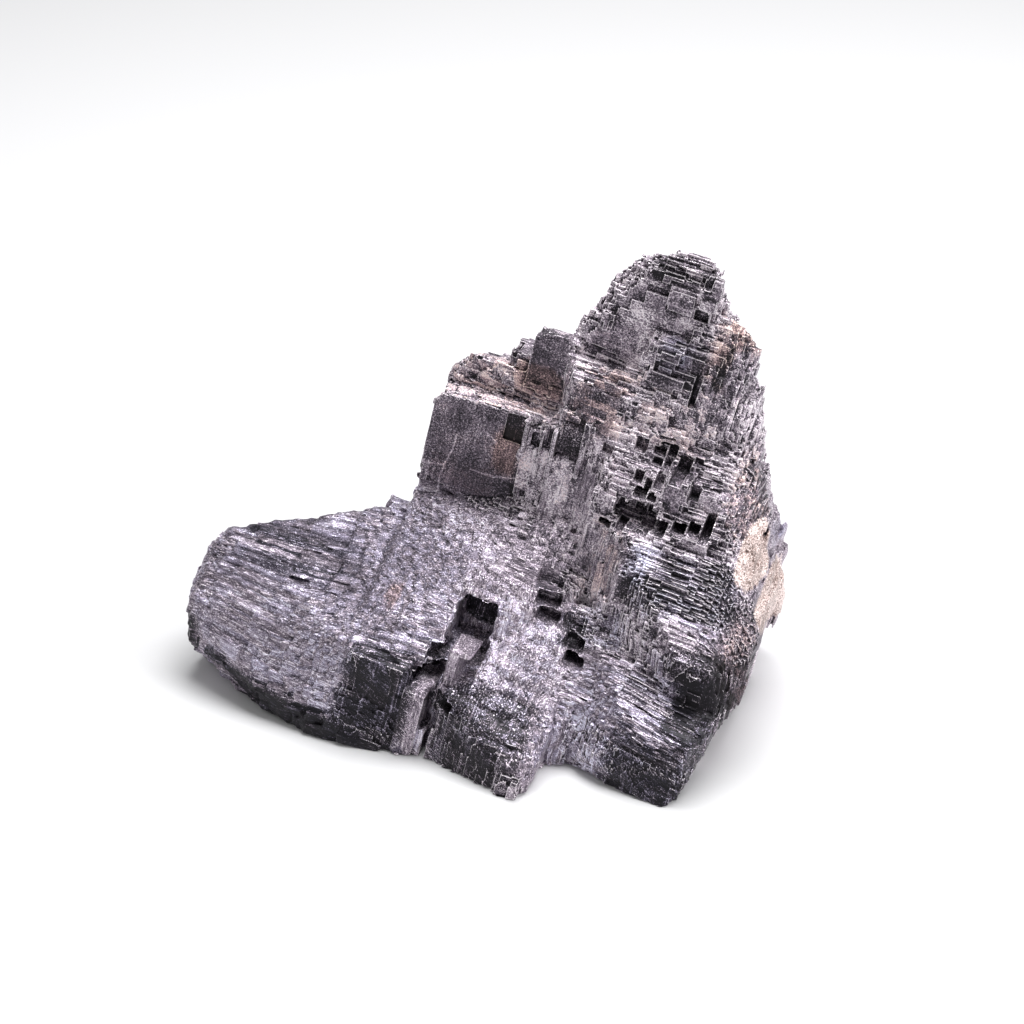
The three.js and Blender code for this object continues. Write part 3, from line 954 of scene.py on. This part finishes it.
def galena_material():
    # Besides the tarnish, its colour holds painted shade, painted dark reflections and painted highlights.
    n = Nodes("galena_tarnish_and_painted_light")
    grain = n.vector("grain")
    upright, slanted = n.value("upright"), n.value("slanted")

    # Streaks are the laths seen as shades, and strokes are finer scratches along them.
    laths = n.noise(grain, (0.06, 0.7, 1.2), 4)
    columns = n.noise(grain, (1.3, 0.14, 0.06), 4, offset=(7, 3, 1))
    streaks = n.either(upright, laths, columns)
    blotches = n.noise(grain, (0.11, 0.11, 0.11), 3, offset=(3, 9, 4))
    grit = n.noise(grain, (2.0, 2.0, 2.6), 2, 0.7, offset=(1, 5, 9))
    fine = n.noise(grain, (3.6, 3.6, 4.2), 1, offset=(11, 2, 6))
    dots = n.noise(grain, (2.5, 2.5, 3.0), 1, offset=(5, 21, 8))
    lying = n.noise(grain, (0.5, 2.2, 3.2), 2, 0.5, offset=(4, 13, 2))
    standing = n.noise(grain, (3.2, 2.2, 0.5), 2, 0.5, offset=(9, 4, 12))
    leant = n.make("ShaderNodeCombineXYZ", enumerate(n.dot(grain, way) for way in LEAN))
    leaning = n.noise(leant.outputs["Vector"], (0.4, 2.2, 3.2), 2, 0.5, offset=(2, 7, 3))
    strokes = n.either(slanted, n.either(upright, lying, standing), leaning)

    # Where each look is, from 0 to 1. Its border follows the blotches, the terraces and the bricks.
    tones = n.value("tone")
    terraces = n.value("terrace")
    ragged = n.sum(n.around(blotches, 0.6), n.around(terraces, 0.5), n.around(tones, 0.2))
    # The dark mask is painted shade and painted dark reflection.
    dark = n.step(n.sum(n.value("dark"), ragged), 0.25, 0.75)
    # The pale mask is partly paler broken surface, partly painted light.
    pale = n.step(n.sum(n.value("pale"), ragged), 0.25, 0.75)
    shade = n.step(n.sum(n.value("shade"), ragged), 0.25, 0.75)
    # The next mask, for dimmer and calmer patches, is painted shade.
    painted_dimming = n.step(n.sum(n.value("painted_dimming"), n.around(blotches, 0.4)), 0.3, 0.7)
    warm = n.step(n.sum(n.value("warm"), ragged, n.around(grit, 0.8)), 0.1, 0.9)
    blue = n.step(n.sum(n.value("blue"), ragged), 0.1, 0.9)
    gangue = n.step(n.sum(n.value("gangue"), n.around(blotches, 1.4), n.around(grit, 0.6)), 0.4, 0.6)
    smooth = n.step(n.value("soft"), 0.3, 0.5)
    calm = n.where(n.sum(n.times(dark, 0.5), painted_dimming), 1.0, 0.55)
    lined = n.where(n.sum(smooth, slanted), 0.3, 1.0)
    # Painted highlights and marks are weaker in the painted shade.
    out_of_shade = n.where(shade, 1.0, 0.65)

    # Edges, corners and faces that look up: edges get wear and painted highlights, corners painted shade,
    # and faces that look up are painted darker to offset the light from above.
    normal = n.make("ShaderNodeTexCoord").outputs["Normal"]
    up = n.step(n.dot(normal, tuple(CRYSTAL[:, 2])), 0.25, 0.8)
    rounded = n.make("ShaderNodeBevel", {"Radius": EDGE_RADIUS}, samples=EDGE_SAMPLES).outputs["Normal"]
    flat = n.make("ShaderNodeNewGeometry").outputs["Normal"]
    edge = n.step(n.dot(rounded, flat), 0.995, 0.88)
    crest = n.step(n.value("ridge"), 0.02, 0.22)
    corner = n.step(n.value("ridge"), -0.02, -0.22)
    # Bright crests: partly wear, partly painted highlight, weaker in the painted shade.
    edge_wear_and_highlight = n.times(edge, crest, n.step(fine, 0.3, 0.5))
    edge_wear_and_highlight = n.times(edge_wear_and_highlight, n.where(shade, 1.0, 0.3), n.where(smooth, 1.6, 0.5))

    # The cracks, which wander off their lines.
    wander = n.vector_math("ADD", grain, n.sum(n.around(laths, 1.4), n.around(blotches, 3.0)))
    crack = n.least(*(n.off_line(wander, *ends) for ends in CRACKS))
    vein = n.step(n.sum(crack, n.around(grit, 0.5)), 2 * CRACK, CRACK)

    # Bright strokes along the laths, which are painted highlights; dark lines between them, which are
    # painted shadow; pores; bright sparkles and glints, which are painted highlights.
    lit = n.step(n.sum(painted_dimming, n.times(dark, -0.8)), -0.8, 1, 0.5, 0.16)
    light = n.times(n.step(n.sum(strokes, n.around(fine, 0.3)), 0.57, 0.65), lit)
    line = n.times(n.step(strokes, 0.42, 0.34), n.where(dark, -0.24, -0.05))
    speckled = n.sum(dots, n.around(blotches, 0.4))
    bright_sparkle = n.times(n.step(speckled, 0.56, 0.64), n.where(painted_dimming, 0.52, 0.34))
    pores = n.times(n.step(speckled, 0.40, 0.33), -0.22)
    plain = n.step(lined, 0.3, 1, 1.0, 0.25)
    marks_and_painted_light = n.sum(n.times(n.sum(light, line), lined), n.times(n.sum(bright_sparkle, pores), plain))
    sparkled = n.sum(fine, n.around(blotches, 0.3))
    glint = n.step(sparkled, 0.62, 0.70)
    speck = n.step(sparkled, 0.37, 0.31)
    gleam = n.times(n.step(streaks, 0.58, 0.66), n.where(dark, 0.12, 0.3))

    # The tone, from the darkest grey at 0 to the brightest at 1.
    broad = n.sum(n.around(tones, 0.3), n.around(terraces, 0.3))
    broad = n.sum(broad, n.around(blotches, 0.4), n.around(grit, 0.35))
    along = n.times(n.around(streaks, 0.75), n.where(painted_dimming, 1.0, 0.5), n.where(smooth, 1.0, 0.9))
    swing = n.sum(n.times(broad, n.where(smooth, 1.1, 0.45)), n.around(fine, 0.5), along)
    # Painted light in the tone: faces that look up, corners, hollows and the dark, dimmed and shaded patches
    # are painted shade; the bright edges, glints, gleams and sparkles are painted highlights.
    tone = n.sum(
        n.where(smooth, 0.56, 0.55), n.times(up, -0.09), n.times(swing, n.where(smooth, 1.2, 0.7), calm),
        n.times(marks_and_painted_light, out_of_shade), n.times(glint, out_of_shade, 0.38), n.times(speck, -0.22), edge_wear_and_highlight,
        n.times(corner, n.where(smooth, -0.26, -0.16)), n.times(vein, 0.3), n.times(dark, -0.42),
        n.times(painted_dimming, -0.18), n.times(pale, 0.16), n.times(shade, -0.27),
        n.times(n.value("hollow_shade"), -0.14), gleam)
    colour = n.colours(tone, GREYS)
    colour = n.mix(1.0, colour, n.mix(warm, EVEN, WARM), "MULTIPLY")
    colour = n.mix(1.0, colour, n.mix(blue, EVEN, BLUE), "MULTIPLY")
    stone = n.sum(0.48, n.around(grit, 3.0), n.around(fine, 3.6), n.around(blotches, 2.6))
    n.link(n.shader.inputs["Base Color"], n.mix(gangue, colour, n.colours(stone, GANGUE)))
    n.link(n.shader.inputs["Metallic"], n.where(gangue, 0.6, 0.0))
    n.link(n.shader.inputs["Roughness"], n.sum(0.30, n.times(grit, 0.3), n.times(dark, -0.08)))

    rough = n.times(n.sum(n.times(grit, 0.5), n.times(fine, 0.2)), calm)
    height = n.sum(n.times(streaks, 0.7), n.times(strokes, lined, 0.5), rough)
    inputs = {"Height": height, "Distance": BUMP_DEPTH, "Strength": n.where(smooth, 0.7, 0.4)}
    bump = n.make("ShaderNodeBump", inputs).outputs["Normal"]
    tilted = n.vector_math("ADD", bump, n.scaled(n.vector("brick"), BRICK_TILT))
    n.link(n.shader.inputs["Normal"], n.vector_math("NORMALIZE", tilted))
    return n.material


lump = build_lump()
lump.data.materials.append(galena_material())
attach(lump, "root")
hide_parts(NODE)

# ---------------------------------------------------------------- floor, light and camera

FLOOR_SIZE = 6
FLOOR_DROP = 0.0002  # keeps the floor off the lump's flat underside
FLOOR_COLOUR = (0.66, 0.66, 0.67, 1)
FLOOR_ROUGHNESS = 0.9
SKY_STRENGTH = 0.45
CAMERA_ELEVATION = math.radians(30)
CAMERA_TARGET = Vector((0.0057, -0.0046, 0.055))
CAMERA_DISTANCE = 0.664
LENS, SENSOR = 100, 36  # in millimetres


def softbox(name, place, aim, size, power):
    light = bpy.data.lights.new(name, "AREA")
    light.shape = "RECTANGLE"
    light.size, light.size_y = size
    light.energy = power
    holder = bpy.data.objects.new(name, light)
    bpy.context.scene.collection.objects.link(holder)
    holder.location = place
    holder.rotation_euler = (Vector(aim) - Vector(place)).to_track_quat("-Z", "Y").to_euler()


bpy.ops.mesh.primitive_plane_add(size=FLOOR_SIZE, location=(0, 0, -FLOOR_DROP))
floor = bpy.context.object
floor.name = "floor"
paint = Nodes("floor")
paint.shader.inputs["Base Color"].default_value = FLOOR_COLOUR
paint.shader.inputs["Roughness"].default_value = FLOOR_ROUGHNESS
floor.data.materials.append(paint.material)

softbox("overhead", (0.1, 0.15, 0.75), (0, 0, 0.04), (0.6, 0.4), 8)
softbox("side", (0.7, -0.3, 0.5), (0, 0, 0.05), (0.3, 0.3), 4)

world = bpy.data.worlds.new("studio")
world.use_nodes = True
sky = world.node_tree.nodes["Background"]
sky.inputs["Color"].default_value = (1, 1, 1, 1)
sky.inputs["Strength"].default_value = SKY_STRENGTH
bpy.context.scene.world = world
bpy.context.scene.view_settings.view_transform = "Standard"

camera_data = bpy.data.cameras.new("camera")
camera_data.lens = LENS
camera_data.sensor_width = SENSOR
camera = bpy.data.objects.new("camera", camera_data)
bpy.context.scene.collection.objects.link(camera)
back = Vector((0, -math.cos(CAMERA_ELEVATION), math.sin(CAMERA_ELEVATION)))
camera.location = CAMERA_TARGET + back * CAMERA_DISTANCE
camera.rotation_euler = (-back).to_track_quat("-Z", "Y").to_euler()
bpy.context.scene.camera = camera
